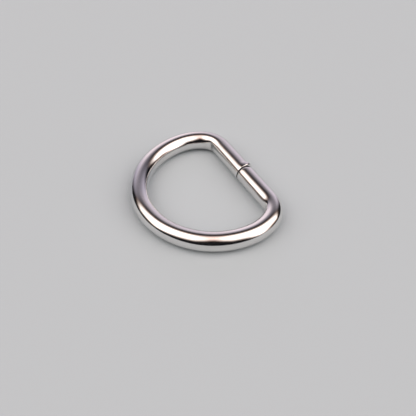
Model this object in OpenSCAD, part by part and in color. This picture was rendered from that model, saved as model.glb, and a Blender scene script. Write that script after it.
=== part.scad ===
/* [Wire] */
// Diameter of the round wire that the ring is bent from
wire_d = 3.8; // [2:0.1:5]

/* [Opening] */
// Width of the opening at its widest, which is the webbing width the ring is sold for
opening_w = 25.4; // [16:0.2:50]
// Height from the bar's inner face to the widest point, where the round bow begins
side_h = 5.4; // [2.4:0.1:16]

/* [Bends] */
// Radius on the inside of each corner bend
corner_r = 1.7; // [0.4:0.1:2.3]
// Angle through which the wire turns in each corner bend
corner_turn = 52; // [35:1:75]

/* [Cut Ends] */
// Gap between the two cut ends where they meet in the middle of the bar
end_gap = 0.2; // [0.05:0.05:1]
// Radius of the rounded edge around each cut end
end_edge_r = 0.45; // [0.1:0.05:0.9]

/* [Hidden] */
$fn = 96;

plate_color = "silver";

// Length of the coarse step when a piece is moved to its place
place_step = 0.01;
// Length by which each bend runs on into its neighbours so that they join, far below any tolerance
joint_lap = 0.0000001;

// Radii of the wire and of its centreline
wire_r = wire_d / 2;
bow_r = opening_w / 2 + wire_r;
corner_bend_r = corner_r + wire_r;
// The side arc leaves the corner bend at its turn and reaches the widest point upright
side_bend_r = corner_bend_r + (side_h - corner_r) / cos(corner_turn);
side_turn = 90 - corner_turn;

// The bow's centre stands this far in front of the bar's centreline
bow_offset = side_h + wire_r;
// Half of the bar, from the middle of the gap to the corner bend
bar_half_l = bow_r - side_bend_r + (side_bend_r - corner_bend_r) * sin(corner_turn);
// The bar lies at the back and the bow at the front, centred on the origin in depth
bar_y = (bow_offset + bow_r) / 2;
bow_y = bar_y - bow_offset;

// Moves to a place in a coarse step and a small one, so that ends that meet agree closely
module place(x, y) {
    coarse_x = round(x / place_step) * place_step;
    coarse_y = round(y / place_step) * place_step;
    translate([coarse_x, coarse_y])
        translate([x - coarse_x, y - coarse_y])
            children();
}

// Wire bent round the vertical axis, from one heading through a turn
module bend(radius, from, turn) {
    lap_turn = joint_lap / radius * 180 / PI;
    rotate_extrude(angle = turn + 2 * lap_turn, start = from - lap_turn)
        place(radius, 0)
            circle(r = wire_r);
}

// Straight wire along -X from its corner bend to its cut end, whose edge is rounded
module bar_half() {
    straight_l = bar_half_l - end_gap / 2;
    rotate([0, -90, 0])
        rotate_extrude()
            difference() {
                square([wire_r, straight_l]);
                translate([wire_r - end_edge_r, straight_l - end_edge_r])
                    difference() {
                        square(end_edge_r);
                        circle(r = end_edge_r);
                    }
            }
}

// Bar half, corner bend and side arc on the +X side, drawn with the bar's centreline on Y = 0
module side_of_ring() {
    place(bar_half_l, 0)
        bar_half();
    place(bar_half_l, -corner_bend_r)
        bend(corner_bend_r, side_turn, corner_turn);
    place(bow_r - side_bend_r, -bow_offset)
        bend(side_bend_r, 0, side_turn);
}

// One bent wire, lying flat with its lowest line on Z = 0
module d_ring() {
    color(plate_color)
        translate([0, 0, wire_r]) {
            place(0, bar_y) {
                side_of_ring();
                mirror([1, 0, 0])
                    side_of_ring();
            }
            place(0, bow_y)
                bend(bow_r, 180, 180);
        }
}

d_ring();
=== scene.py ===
import math

import bpy
import numpy as np
from mathutils import Matrix, Vector


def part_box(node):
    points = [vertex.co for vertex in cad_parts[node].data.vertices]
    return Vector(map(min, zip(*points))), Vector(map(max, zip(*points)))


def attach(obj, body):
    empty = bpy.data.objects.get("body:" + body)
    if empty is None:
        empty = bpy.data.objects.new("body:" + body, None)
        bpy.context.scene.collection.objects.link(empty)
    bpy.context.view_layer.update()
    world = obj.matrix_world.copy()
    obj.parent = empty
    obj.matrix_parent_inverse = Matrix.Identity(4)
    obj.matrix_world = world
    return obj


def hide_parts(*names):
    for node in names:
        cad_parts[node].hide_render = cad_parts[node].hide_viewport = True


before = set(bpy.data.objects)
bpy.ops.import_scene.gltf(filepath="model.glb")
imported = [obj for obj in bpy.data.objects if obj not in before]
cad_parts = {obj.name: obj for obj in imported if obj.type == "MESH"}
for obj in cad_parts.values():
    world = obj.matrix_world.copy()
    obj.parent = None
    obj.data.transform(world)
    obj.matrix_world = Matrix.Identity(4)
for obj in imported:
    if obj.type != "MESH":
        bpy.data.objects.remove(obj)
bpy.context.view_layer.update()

# A d ring bent from one round wire and plated, with its two cut ends meeting in the middle of the
# bar. Lengths are in millimetres, and MM takes them to the scene's metres
MM = 0.001
NODE = "d_ring"
SLOT = "plated_wire"

# Camera: focal length and picture width in the photograph's pixels, and the width of the film
FOCAL = 600
PICTURE_W = 416
FILM_W = 36
# It looks down at this angle, from this bearing, which runs clockwise from the ring's front (-Y)
ELEVATION = math.radians(46.32)
BEARING = math.radians(299.57)
# Distance from the ring's middle, shift to the camera's own right and up, and the least distance
# at which it sees anything
DISTANCE = 119.10
SHIFT_RIGHT = 2.128
SHIFT_UP = -1.872
CLIP_START = 1

# Course of the wire: radii of its centreline in the corners and the sides, and the gap between the
# cut ends. The corners are rounder outside and sharper inside than the CAD model's
CORNER_R = 5.35
SIDE_R = 9.61
END_GAP = 0.2
# Step in which the course is followed, and the spread of each change of curvature, because a bent
# wire never goes at once from straight to round
WALK_STEP = 0.01
BLEND_L = 0.5
# In a corner the opening's edge is nearly sharp: how softly its two sides meet, and how fast the
# thinning of the wire that this takes dies out from the inner line to the crown
CREASE_SOFT = 0.16
CREASE_POWER = 4.0
# A corner ends where less than this part of the wire's inward direction points to the bow
CORNER_INWARD = 0.05
# Slow unevenness of the bent wire: how high and how long its waves are
WAVE_H = 0.006
WAVE_L = 9.0
# Where the wire lies on the ground, in degrees round the section, and how wide it is left even there
UNDERSIDE = 270
UNDERSIDE_WIDE = 40

# Cut ends: the near one is on the +X side of the gap. Angles are in degrees round the section, from
# the outside (0) over the crown (90). First the radii of the rounded edges and the height of the
# domed faces
NEAR_EDGE_R = 0.15
FAR_EDGE_R = 0.05
DOME_H = 0.03
# On one shoulder the near end's edge is rounder: by how much, where, and how wide
SHOULDER_R = 0.45
SHOULDER_AT = 60
SHOULDER_WIDE = 40
# Shearing left a lip on the far end: its height, how much rounder its edge is, how far from the end
# it starts and is full, where it is, and how wide
LIP_H = 0.25
LIP_EDGE_R = 0.45
LIP_START = 1.7
LIP_FULL = 0.7
LIP_AT = 45
LIP_WIDE = 32

# Mesh: corners of the section, and spacing of the stations along the wire, which is closer in the
# corners and at the cut ends, and how far from their middle that reaches
SIDES = 112
SPACING = 0.19
SPACING_CORNER = 0.075
SPACING_END = 0.06
CORNER_SPREAD = 2.4
END_SPREAD = 1.2
# Degrees that the wire has turned by the middle of a corner's stations
CORNER_TURNED = 28
# Number of places along the wire at which the spacing is worked out
SPACING_PLACES = 6000
# Rings round the edge of a cut end and over its face, and the innermost one's share of its radius
EDGE_STEPS = 8
CAP_RINGS = 6
CAP_INNERMOST = 0.08

# Noise on the plate. "grain" is its waves to a millimetre along the wire, across it and up, "detail"
# its finer layers, "rough" their strength, and "slant" the waves that it shifts across for each
# millimetre along
PATCHES = {"grain": (0.12, 0.5, 0.5), "detail": 3, "rough": 0.5}
HAZE = {"grain": (0.7, 1.1, 1.1), "detail": 4, "rough": 0.6}
RIPPLE = {"grain": (0.9, 1.3, 1.3), "detail": 1, "rough": 0.5}
DRAW_LINES = {"grain": (0.06, 7, 7), "detail": 3, "rough": 0.6}
MARKS = {"grain": (0.35, 11, 11), "detail": 1, "rough": 0.5, "slant": 3.1}
# Between which values of their noise these come in
PATCHES_IN = (0.35, 0.7)
HAZE_IN = (0.3, 0.75)
MARKS_IN = (0.68, 0.76)
# Colours of the plate, of its patches, of the painted shade on one side of the bow, and of the painted
# shade on the cut faces in the gap
PLATE_TONE = (0.80, 0.79, 0.78)
PATCH_TONE = (0.75, 0.735, 0.72)
SHADED_SIDE_TONE = (0.595, 0.60, 0.62)
GAP_SHADE_TONE = (0.085, 0.075, 0.08)
# Painted shade: one side of the bow is coloured darker and bluer for its dimmer reflection. Where along
# the wire that starts, is full, fades and ends
SHADED_SIDE_ALONG = (42, 47.5, 52, 58)
# Roughness of clear and hazy plate, and what the marks, draw lines and cut faces add to it
CLEAR_ROUGHNESS = 0.06
HAZY_ROUGHNESS = 0.13
MARKS_ROUGHNESS = 0.10
LINES_ROUGHNESS = 0.03
CUT_ROUGHNESS = 0.22
# Relief: height of the ripple, and that of the draw lines and of the sunken marks as shares of it
RIPPLE_H = 0.004
LINES_RELIEF = 0.12
MARKS_RELIEF = -0.10

# Floor: half its width, and its paint
FLOOR_HALF_W = 3000
FLOOR_TONE = (0.47, 0.53, 0.565)
FLOOR_ROUGHNESS = 0.8
FLOOR_SPECULAR = 0.2

# Soft studio light as windows of the sky, each with its colour and strength. The angles are in
# degrees. "over" runs from the horizon on the camera's side (0) over the zenith (90) to the far
# horizon (180) and on below it, and "aside" from the far left (-90) to the far right (90). Each has
# where it starts to light up, where it is full, where it starts to fade and where it is dark again
LIGHTS = {
    "softbox": {
        "colour": (1.80, 1.79, 1.77),
        "over": (29, 64, 110, 138),
        "aside": (-78, -57, 58, 80),
        "notched": True,
    },
    "softbox_rim": {
        "colour": (0.46, 0.25, 0.16),
        "over": (24, 60, 112, 146),
        "aside": (-81, -60, 62, 90),
        "notched": True,
    },
    "wall": {
        "colour": (0.74, 0.66, 0.75),
        "over": (119, 158, 194, 214),
        "aside": (-54, -30, 26, 50),
        "notched": False,
    },
    "wall_light": {
        "colour": (0.32, 0.26, 0.24),
        "over": (130, 152, 176, 198),
        "aside": (-34, -16, -6, 6),
        "notched": False,
    },
}
# The camera stands in the way of a notched window. In front of it the near edge lies further back,
# and over it the far edge lies nearer: each by how many degrees, and how far aside that reaches
NEAR_NOTCH = 18
NEAR_NOTCH_WIDE = 20
FAR_NOTCH = 24
FAR_NOTCH_WIDE = 60
# On the right the near edge of a notched window lies lower: by how many degrees, and where aside
# that starts and is full
RIGHT_DROP = 30
RIGHT_DROP_AT = (28, 60)
# In the middle the lens hides this share of the light's colours
LENS_SHADE = {
    "colour": (0.28, 0.40, 0.42),
    "over": (30, 50, 96, 120),
    "aside": (-12, -2, 2, 12),
    "notched": False,
}
# Light from where there is no window, and the backdrop that the camera sees past the floor
DARK = (0.012, 0.012, 0.014)
BACKDROP = (0.57, 0.565, 0.575)


class Nodes:
    """Short calls that build a node tree. The values in them are plain ones or other nodes' outputs."""

    def __init__(self, tree):
        tree.nodes.clear()
        self.tree = tree

    def new(self, kind, inputs=None, **settings):
        """A node with these settings, and with values in its inputs, each by its name or number."""
        node = self.tree.nodes.new(kind)
        for name, setting in settings.items():
            setattr(node, name, setting)
        for key, value in (inputs or {}).items():
            self.feed(node.inputs[key], value)
        return node

    def feed(self, socket, value):
        """Links a socket to an output, or sets it to a plain value."""
        if isinstance(value, bpy.types.NodeSocket):
            self.tree.links.new(value, socket)
        else:
            socket.default_value = value

    def math(self, operation, a, b=0.0):
        return self.new("ShaderNodeMath", {0: a, 1: b}, operation=operation).outputs[0]

    def add_share(self, start, value, share):
        """The start plus a share of the value."""
        return self.math("ADD", start, self.math("MULTIPLY", value, share))

    def vector(self, operation, a, b):
        return self.new("ShaderNodeVectorMath", {0: a, 1: b}, operation=operation).outputs[0]

    def scaled(self, vector, scale):
        inputs = {0: vector, "Scale": scale}
        return self.new("ShaderNodeVectorMath", inputs, operation="SCALE").outputs[0]

    def split(self, vector):
        """The three numbers of a vector."""
        return self.new("ShaderNodeSeparateXYZ", {0: vector}).outputs

    def mix(self, share, a, b):
        """The colour a where the share is 0, and b where it is 1."""
        inputs = {"Factor": share, "A": a, "B": b}
        return self.new("ShaderNodeMix", inputs, data_type="RGBA").outputs["Result"]

    def remap(self, value, low, high, to_low=0.0, to_high=1.0, kind="SMOOTHSTEP"):
        """Takes low..high to to_low..to_high and holds the ends."""
        inputs = {"Value": value, "From Min": low, "From Max": high, "To Min": to_low, "To Max": to_high}
        return self.new("ShaderNodeMapRange", inputs, interpolation_type=kind).outputs[0]

    def window(self, value, start, full, fade, end, kind="SMOOTHSTEP"):
        """1 between full and fade, and 0 outside start and end."""
        rising = self.remap(value, start, full, kind=kind)
        falling = self.remap(value, fade, end, 1, 0, kind=kind)
        return self.math("MULTIPLY", rising, falling)


def add_object(name, data):
    """A new object in the scene."""
    made = bpy.data.objects.new(name, data)
    bpy.context.scene.collection.objects.link(made)
    return made


def add_material(name):
    """A new material, and its nodes."""
    material = bpy.data.materials.new(name)
    material.use_nodes = True
    return material, Nodes(material.node_tree)


def smooth_max(a, b, soft):
    """The larger of a and b, with the crossing rounded over a length of about soft."""
    h = np.clip(soft - np.abs(a - b), 0, None) / soft
    return np.maximum(a, b) + h * h * soft / 4


def smooth_step(value, start, full):
    """0 up to the start and 1 from full on, with soft ends."""
    share = np.clip((value - start) / (full - start), 0, 1)
    return share * share * (3 - 2 * share)


def hump(phi, centre, width):
    """1 at the centre angle in degrees, dying out round the section."""
    away = np.angle(np.exp(1j * (phi - math.radians(centre))))
    return np.exp(-((away / math.radians(width)) ** 2))


def running_sum(values, step):
    """The integral of evenly spaced values, from 0."""
    return np.concatenate([[0], np.cumsum((values[1:] + values[:-1]) / 2 * step)])


def softened(values, step, spread):
    """Evenly spaced values, each averaged with those round it under a bell of this spread."""
    # Further out than three times its spread the bell has next to nothing
    reach = int(3 * spread / step)
    bell = np.exp(-0.5 * (np.arange(-reach, reach + 1) * step / spread) ** 2)
    return np.convolve(np.pad(values, reach, mode="edge"), bell / bell.sum(), mode="valid")


class Wire:
    """The bent wire's sizes, and the course of its centreline."""

    def __init__(self):
        low, high = (Vector(c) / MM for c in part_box(NODE))
        self.r = (high.z - low.z) / 2
        self.bow_r = (high.x - low.x) / 2 - self.r
        self.bar_y = high.y - self.r
        self.bow_y = low.y + self.r + self.bow_r
        self.walk_half()
        self.length = 2 * self.half_l

    def walk_half(self):
        """Follows the curvature of the +X half, from its cut end to the middle of the bow."""
        rise = self.bar_y - self.bow_y
        turn = math.acos((rise - CORNER_R) / (SIDE_R - CORNER_R))
        bar_l = self.bow_r - SIDE_R + (SIDE_R - CORNER_R) * math.sin(turn) - END_GAP / 2
        quarter = math.pi / 2
        lengths = [bar_l, CORNER_R * turn, SIDE_R * (quarter - turn), self.bow_r * quarter]
        curvatures = np.array([0, 1 / CORNER_R, 1 / SIDE_R, 1 / self.bow_r])
        ends = np.cumsum(lengths)
        u = np.arange(0, ends[-1], WALK_STEP)
        bend = curvatures[np.searchsorted(ends[:-1], u, side="right")]
        heading = running_sum(softened(bend, WALK_STEP, BLEND_L), WALK_STEP)
        heading *= math.pi / heading[-1]
        x = END_GAP / 2 + running_sum(np.cos(heading), WALK_STEP)
        y = -running_sum(np.sin(heading), WALK_STEP)
        # The bar takes up what the softened bends changed, and the rest is set to the CAD's size
        x -= x[-1] * np.clip(u / bar_l, 0, 1)
        self.x = x * self.bow_r / x.max()
        self.y = self.bar_y + y * (rise + self.bow_r) / -y[-1]
        self.heading = heading
        self.u = u
        self.half_l = u[-1]

    def at(self, u):
        """Place, outward direction and direction along the wire at a distance from the +X cut end."""
        far = u > self.half_l
        side = -1 if far else 1
        v = self.length - u if far else u
        x, y, h = (np.interp(v, self.u, line) for line in (self.x, self.y, self.heading))
        place = np.array([side * x, y])
        out = np.array([side * math.sin(h), math.cos(h)])
        along = np.array([math.cos(h), -side * math.sin(h)])
        return place, out, along

    def thinning(self, place, out):
        """How much less than the wire's radius the opening's edge lies inwards of a place in a corner."""
        # The place and the direction inwards, both as on the +X side
        px, py = abs(place[0]), place[1]
        nx, ny = -abs(out[0]), -out[1]
        if py < self.bow_y or ny > -CORNER_INWARD:
            return 0.0
        # How far inwards the bar's inner line is, and after it the side arc's inner circle
        to_bar = (py - (self.bar_y - self.r)) / -ny
        qx, qy = px - (self.bow_r - SIDE_R), py - self.bow_y
        inner_r = SIDE_R - self.r
        across = qx * nx + qy * ny
        half_chord = math.sqrt(max(across * across - (qx * qx + qy * qy - inner_r * inner_r), 0))
        to_side = -across - half_chord
        return max(self.r - float(smooth_max(to_bar, to_side, CREASE_SOFT)), 0.0)

    def stations(self):
        """Distances along the wire, closer together at the corners and the cut ends."""
        u = np.linspace(0, self.length, SPACING_PLACES)
        corner = np.interp(math.radians(CORNER_TURNED), self.heading, self.u)

        def near(centre, spread):
            return np.exp(-(((u - centre) / spread) ** 2))

        corners = near(corner, CORNER_SPREAD) + near(self.length - corner, CORNER_SPREAD)
        ends = near(0, END_SPREAD) + near(self.length, END_SPREAD)
        density = 1 / SPACING + (1 / SPACING_CORNER - 1 / SPACING) * corners
        density += (1 / SPACING_END - 1 / SPACING) * ends
        count = running_sum(density, u[1])
        return np.interp(np.linspace(0, count[-1], int(count[-1])), count, u)


class RingMesh:
    """Rings of points round the wire, from its near cut end to the far one."""

    def __init__(self, wire):
        self.wire = wire
        self.phi = np.linspace(0, 2 * math.pi, SIDES, endpoint=False)
        # Of each ring: its points, their places along and across the wire, and 1 on a cut face
        self.points = []
        self.coords = []
        self.cut = []

    def radius(self, u):
        """Radius round the section, with the lip, and with slow waves that die out to the ends."""
        wave = WAVE_H * np.sin(2 * math.pi * u / WAVE_L + 2 * self.phi)
        wave *= 1 - hump(self.phi, UNDERSIDE, UNDERSIDE_WIDE)
        share = smooth_step(self.wire.length - u, LIP_START, LIP_FULL)
        lip = LIP_H * share * hump(self.phi, LIP_AT, LIP_WIDE)
        return self.wire.r + wave * math.sin(math.pi * u / self.wire.length) + lip

    def ring(self, u, radius, shift=0.0, cut=0.0):
        """Adds the ring at the station u, its points shifted along the wire."""
        place, out, along = self.wire.at(u)
        height = radius * np.sin(self.phi)
        inside = np.clip(-np.cos(self.phi), 0, None)
        thinned = self.wire.thinning(place, out) * inside ** CREASE_POWER
        across = radius * np.cos(self.phi) + thinned
        shift = np.broadcast_to(shift, SIDES)
        flat = place + np.outer(across, out) + np.outer(shift, along)
        self.points.append(np.column_stack([flat, self.wire.r + height]))
        self.coords.append(np.column_stack([u + shift, across, height]))
        self.cut.append(np.full(SIDES, cut))

    def end(self, far):
        """Adds the rings of one cut end: a slightly domed face, then its rounded edge."""
        if far:
            u = self.wire.length
            inward = -1
            edge = FAR_EDGE_R + LIP_EDGE_R * hump(self.phi, LIP_AT, LIP_WIDE)
        else:
            u = 0.0
            inward = 1
            edge = NEAR_EDGE_R + SHOULDER_R * hump(self.phi, SHOULDER_AT, SHOULDER_WIDE)
        rim = self.radius(u)
        shares = np.linspace(CAP_INNERMOST, 1, CAP_RINGS)
        face = [(share * (rim - edge), 0.0, 1.0) for share in shares]
        turned = np.linspace(math.pi / 2, 0, EDGE_STEPS + 1)[1:]
        bevel = [(rim - edge * (1 - math.cos(q)), edge * (1 - math.sin(q)), 0.0) for q in turned]
        rings = face + bevel
        if far:
            rings.reverse()
        for radius, depth, cut in rings:
            self.ring(u, radius, inward * (depth + DOME_H * (radius / rim) ** 2), cut)

    def sweep(self):
        """Adds the rings of the whole wire."""
        self.end(far=False)
        # The stations start and stop clear of the rounded edges
        clear = NEAR_EDGE_R + SHOULDER_R + 2 * DOME_H
        for u in self.wire.stations():
            if clear < u < self.wire.length - clear:
                self.ring(u, self.radius(u))
        self.end(far=True)

    def faces(self):
        """Quads between the rings, and a fan round the point in the middle of each end."""
        here = np.arange(SIDES)
        beside = (here + 1) % SIDES
        starts = np.arange(len(self.points) - 1)[:, None] * SIDES
        corners = [starts + here, starts + beside, starts + SIDES + beside, starts + SIDES + here]
        quads = np.stack(corners, axis=2).reshape(-1, 4)
        near_middle = len(self.points) * SIDES
        far_middle = near_middle + 1
        last = near_middle - SIDES
        pairs = list(zip(here.tolist(), beside.tolist()))
        near_fan = [(near_middle, b, a) for a, b in pairs]
        far_fan = [(far_middle, last + a, last + b) for a, b in pairs]
        return quads.tolist() + near_fan + far_fan

    def build(self, name):
        """The finished object, with the place along and across the wire kept on its points."""
        self.sweep()
        ends = (0, -1)
        points = np.vstack(self.points + [self.points[i].mean(0) for i in ends])
        coords = np.vstack(self.coords + [self.coords[i].mean(0) for i in ends])
        cut = np.concatenate(self.cut + [[1.0, 1.0]])
        mesh = bpy.data.meshes.new(name)
        mesh.from_pydata((points * MM).tolist(), [], self.faces())
        place = mesh.attributes.new("wire_mm", "FLOAT_VECTOR", "POINT")
        place.data.foreach_set("vector", coords.ravel())
        on_cut = mesh.attributes.new("cut_face", "FLOAT", "POINT")
        on_cut.data.foreach_set("value", cut)
        mesh.polygons.foreach_set("use_smooth", np.ones(len(mesh.polygons), bool))
        mesh.update()
        return add_object(name, mesh)


def plate_noise(n, place, look):
    """Noise with this look, laid out along and across the wire."""
    spot = n.vector("MULTIPLY", place, look["grain"])
    if "slant" in look:
        shift = n.math("MULTIPLY", n.split(place)[0], look["slant"])
        spot = n.vector("ADD", spot, n.new("ShaderNodeCombineXYZ", {"Y": shift}).outputs[0])
    inputs = {"Vector": spot, "Scale": 1, "Detail": look["detail"], "Roughness": look["rough"]}
    return n.new("ShaderNodeTexNoise", inputs).outputs["Fac"]


def nickel():
    """Bright nickel plate over drawn wire: faint draw lines, handling marks and hazy patches, with
    painted shade on one side of the bow and on the cut faces.
    """
    material, n = add_material(SLOT)
    place = n.new("ShaderNodeAttribute", attribute_name="wire_mm").outputs["Vector"]
    cut = n.new("ShaderNodeAttribute", attribute_name="cut_face").outputs["Fac"]
    patches = n.remap(plate_noise(n, place, PATCHES), *PATCHES_IN)
    marks = n.remap(plate_noise(n, place, MARKS), *MARKS_IN)
    draw_lines = plate_noise(n, place, DRAW_LINES)

    tone = n.mix(patches, (*PLATE_TONE, 1), (*PATCH_TONE, 1))
    # Painted shade: one side of the bow darker and bluer, for its dimmer reflection
    tone = n.mix(n.window(n.split(place)[0], *SHADED_SIDE_ALONG), tone, (*SHADED_SIDE_TONE, 1))
    # Painted shade: the cut faces near black, for the shade in the narrow gap between the ends
    tone = n.mix(cut, tone, (*GAP_SHADE_TONE, 1))

    roughness = n.remap(plate_noise(n, place, HAZE), *HAZE_IN, CLEAR_ROUGHNESS, HAZY_ROUGHNESS)
    roughness = n.add_share(roughness, marks, MARKS_ROUGHNESS)
    roughness = n.add_share(roughness, draw_lines, LINES_ROUGHNESS)
    roughness = n.add_share(roughness, cut, CUT_ROUGHNESS)

    relief = n.add_share(plate_noise(n, place, RIPPLE), draw_lines, LINES_RELIEF)
    relief = n.add_share(relief, marks, MARKS_RELIEF)
    bump = n.new("ShaderNodeBump", {"Strength": 1, "Distance": RIPPLE_H * MM, "Height": relief})

    look = {"Metallic": 1, "Base Color": tone, "Roughness": roughness, "Normal": bump.outputs[0]}
    shader = n.new("ShaderNodeBsdfPrincipled", look)
    n.new("ShaderNodeOutputMaterial", {"Surface": shader.outputs[0]})
    return material


def floor_paint():
    """Plain matt paint."""
    material, n = add_material("floor_paint")
    look = {
        "Base Color": (*FLOOR_TONE, 1),
        "Roughness": FLOOR_ROUGHNESS,
        "Specular IOR Level": FLOOR_SPECULAR,
    }
    shader = n.new("ShaderNodeBsdfPrincipled", look)
    n.new("ShaderNodeOutputMaterial", {"Surface": shader.outputs[0]})
    return material


def build_floor():
    """A plain pale floor, wider than any view."""
    half = FLOOR_HALF_W * MM
    corners = [(-half, -half, 0), (half, -half, 0), (half, half, 0), (-half, half, 0)]
    mesh = bpy.data.meshes.new("floor")
    mesh.from_pydata(corners, [], [(0, 1, 2, 3)])
    mesh.materials.append(floor_paint())
    floor = add_object("floor", mesh)


def build_camera():
    """The camera at the photograph's angle."""
    data = bpy.data.cameras.new("camera")
    camera = add_object("camera", data)
    data.sensor_width = FILM_W
    data.lens = FOCAL / PICTURE_W * FILM_W
    data.clip_start = CLIP_START * MM
    back = Vector((0, -math.cos(ELEVATION), math.sin(ELEVATION)))
    right = Vector((1, 0, 0))
    up = back.cross(right)
    place = back * DISTANCE + right * SHIFT_RIGHT + up * SHIFT_UP
    turn = Matrix.Rotation(-BEARING, 3, "Z")
    axes = Matrix([turn @ right, turn @ up, turn @ back]).transposed()
    camera.matrix_world = Matrix.Translation(turn @ place * MM) @ axes.to_4x4()
    bpy.context.scene.camera = camera


def sky_angles(n):
    """How many degrees over and aside each direction of the sky is."""
    direction = n.new("ShaderNodeTexCoord").outputs["Generated"]
    turned = n.new("ShaderNodeMapping", {"Vector": direction, "Rotation": (0, 0, BEARING)})
    x, y, z = n.split(turned.outputs[0])
    over = n.math("DEGREES", n.math("ARCTAN2", z, n.math("MULTIPLY", y, -1)))
    # Below the far horizon the angle runs on from 180
    over = n.add_share(over, n.math("LESS_THAN", over, -90), 360)
    upright = n.math("SQRT", n.math("ADD", n.math("MULTIPLY", y, y), n.math("MULTIPLY", z, z)))
    aside = n.math("DEGREES", n.math("ARCTAN2", x, upright))
    return over, aside


def notched_angles(n, over, aside):
    """The angle over as a notched window has it, at its near edge and at its far edge."""
    pointed = n.window(aside, -NEAR_NOTCH_WIDE, 0, 0, NEAR_NOTCH_WIDE, "LINEAR")
    rounded = n.window(aside, -FAR_NOTCH_WIDE, 0, 0, FAR_NOTCH_WIDE)
    near = n.add_share(over, pointed, -NEAR_NOTCH)
    near = n.add_share(near, n.remap(aside, *RIGHT_DROP_AT), RIGHT_DROP)
    far = n.add_share(over, rounded, FAR_NOTCH)
    return near, far


def build_studio():
    """The studio's light all round, and a pale backdrop where the camera sees past the floor."""
    world = bpy.data.worlds.new("studio")
    bpy.context.scene.world = world
    world.use_nodes = True
    n = Nodes(world.node_tree)
    over, aside = sky_angles(n)
    notched = notched_angles(n, over, aside)

    def shine(window):
        """What a window adds or hides in each direction of the sky."""
        near, far = notched if window["notched"] else (over, over)
        start, full, fade, end = window["over"]
        lit = n.math("MULTIPLY", n.remap(near, start, full), n.remap(far, fade, end, 1, 0))
        lit = n.math("MULTIPLY", lit, n.window(aside, *window["aside"]))
        return n.scaled(window["colour"], lit)

    total = DARK
    for window in LIGHTS.values():
        total = n.vector("ADD", total, shine(window))
    total = n.vector("MULTIPLY", total, n.vector("SUBTRACT", (1, 1, 1), shine(LENS_SHADE)))
    studio = n.new("ShaderNodeBackground", {"Color": total}).outputs[0]
    backdrop = n.new("ShaderNodeBackground", {"Color": (*BACKDROP, 1)}).outputs[0]
    by_camera = n.new("ShaderNodeLightPath").outputs["Is Camera Ray"]
    seen = n.new("ShaderNodeMixShader", {"Fac": by_camera, 1: studio, 2: backdrop})
    n.new("ShaderNodeOutputWorld", {"Surface": seen.outputs[0]})


build_camera()
build_floor()
build_studio()
ring = RingMesh(Wire()).build("ring_wire")
ring.data.materials.append(nickel())
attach(ring, "root")
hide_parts(NODE)
bpy.context.scene.view_settings.view_transform = "Standard"
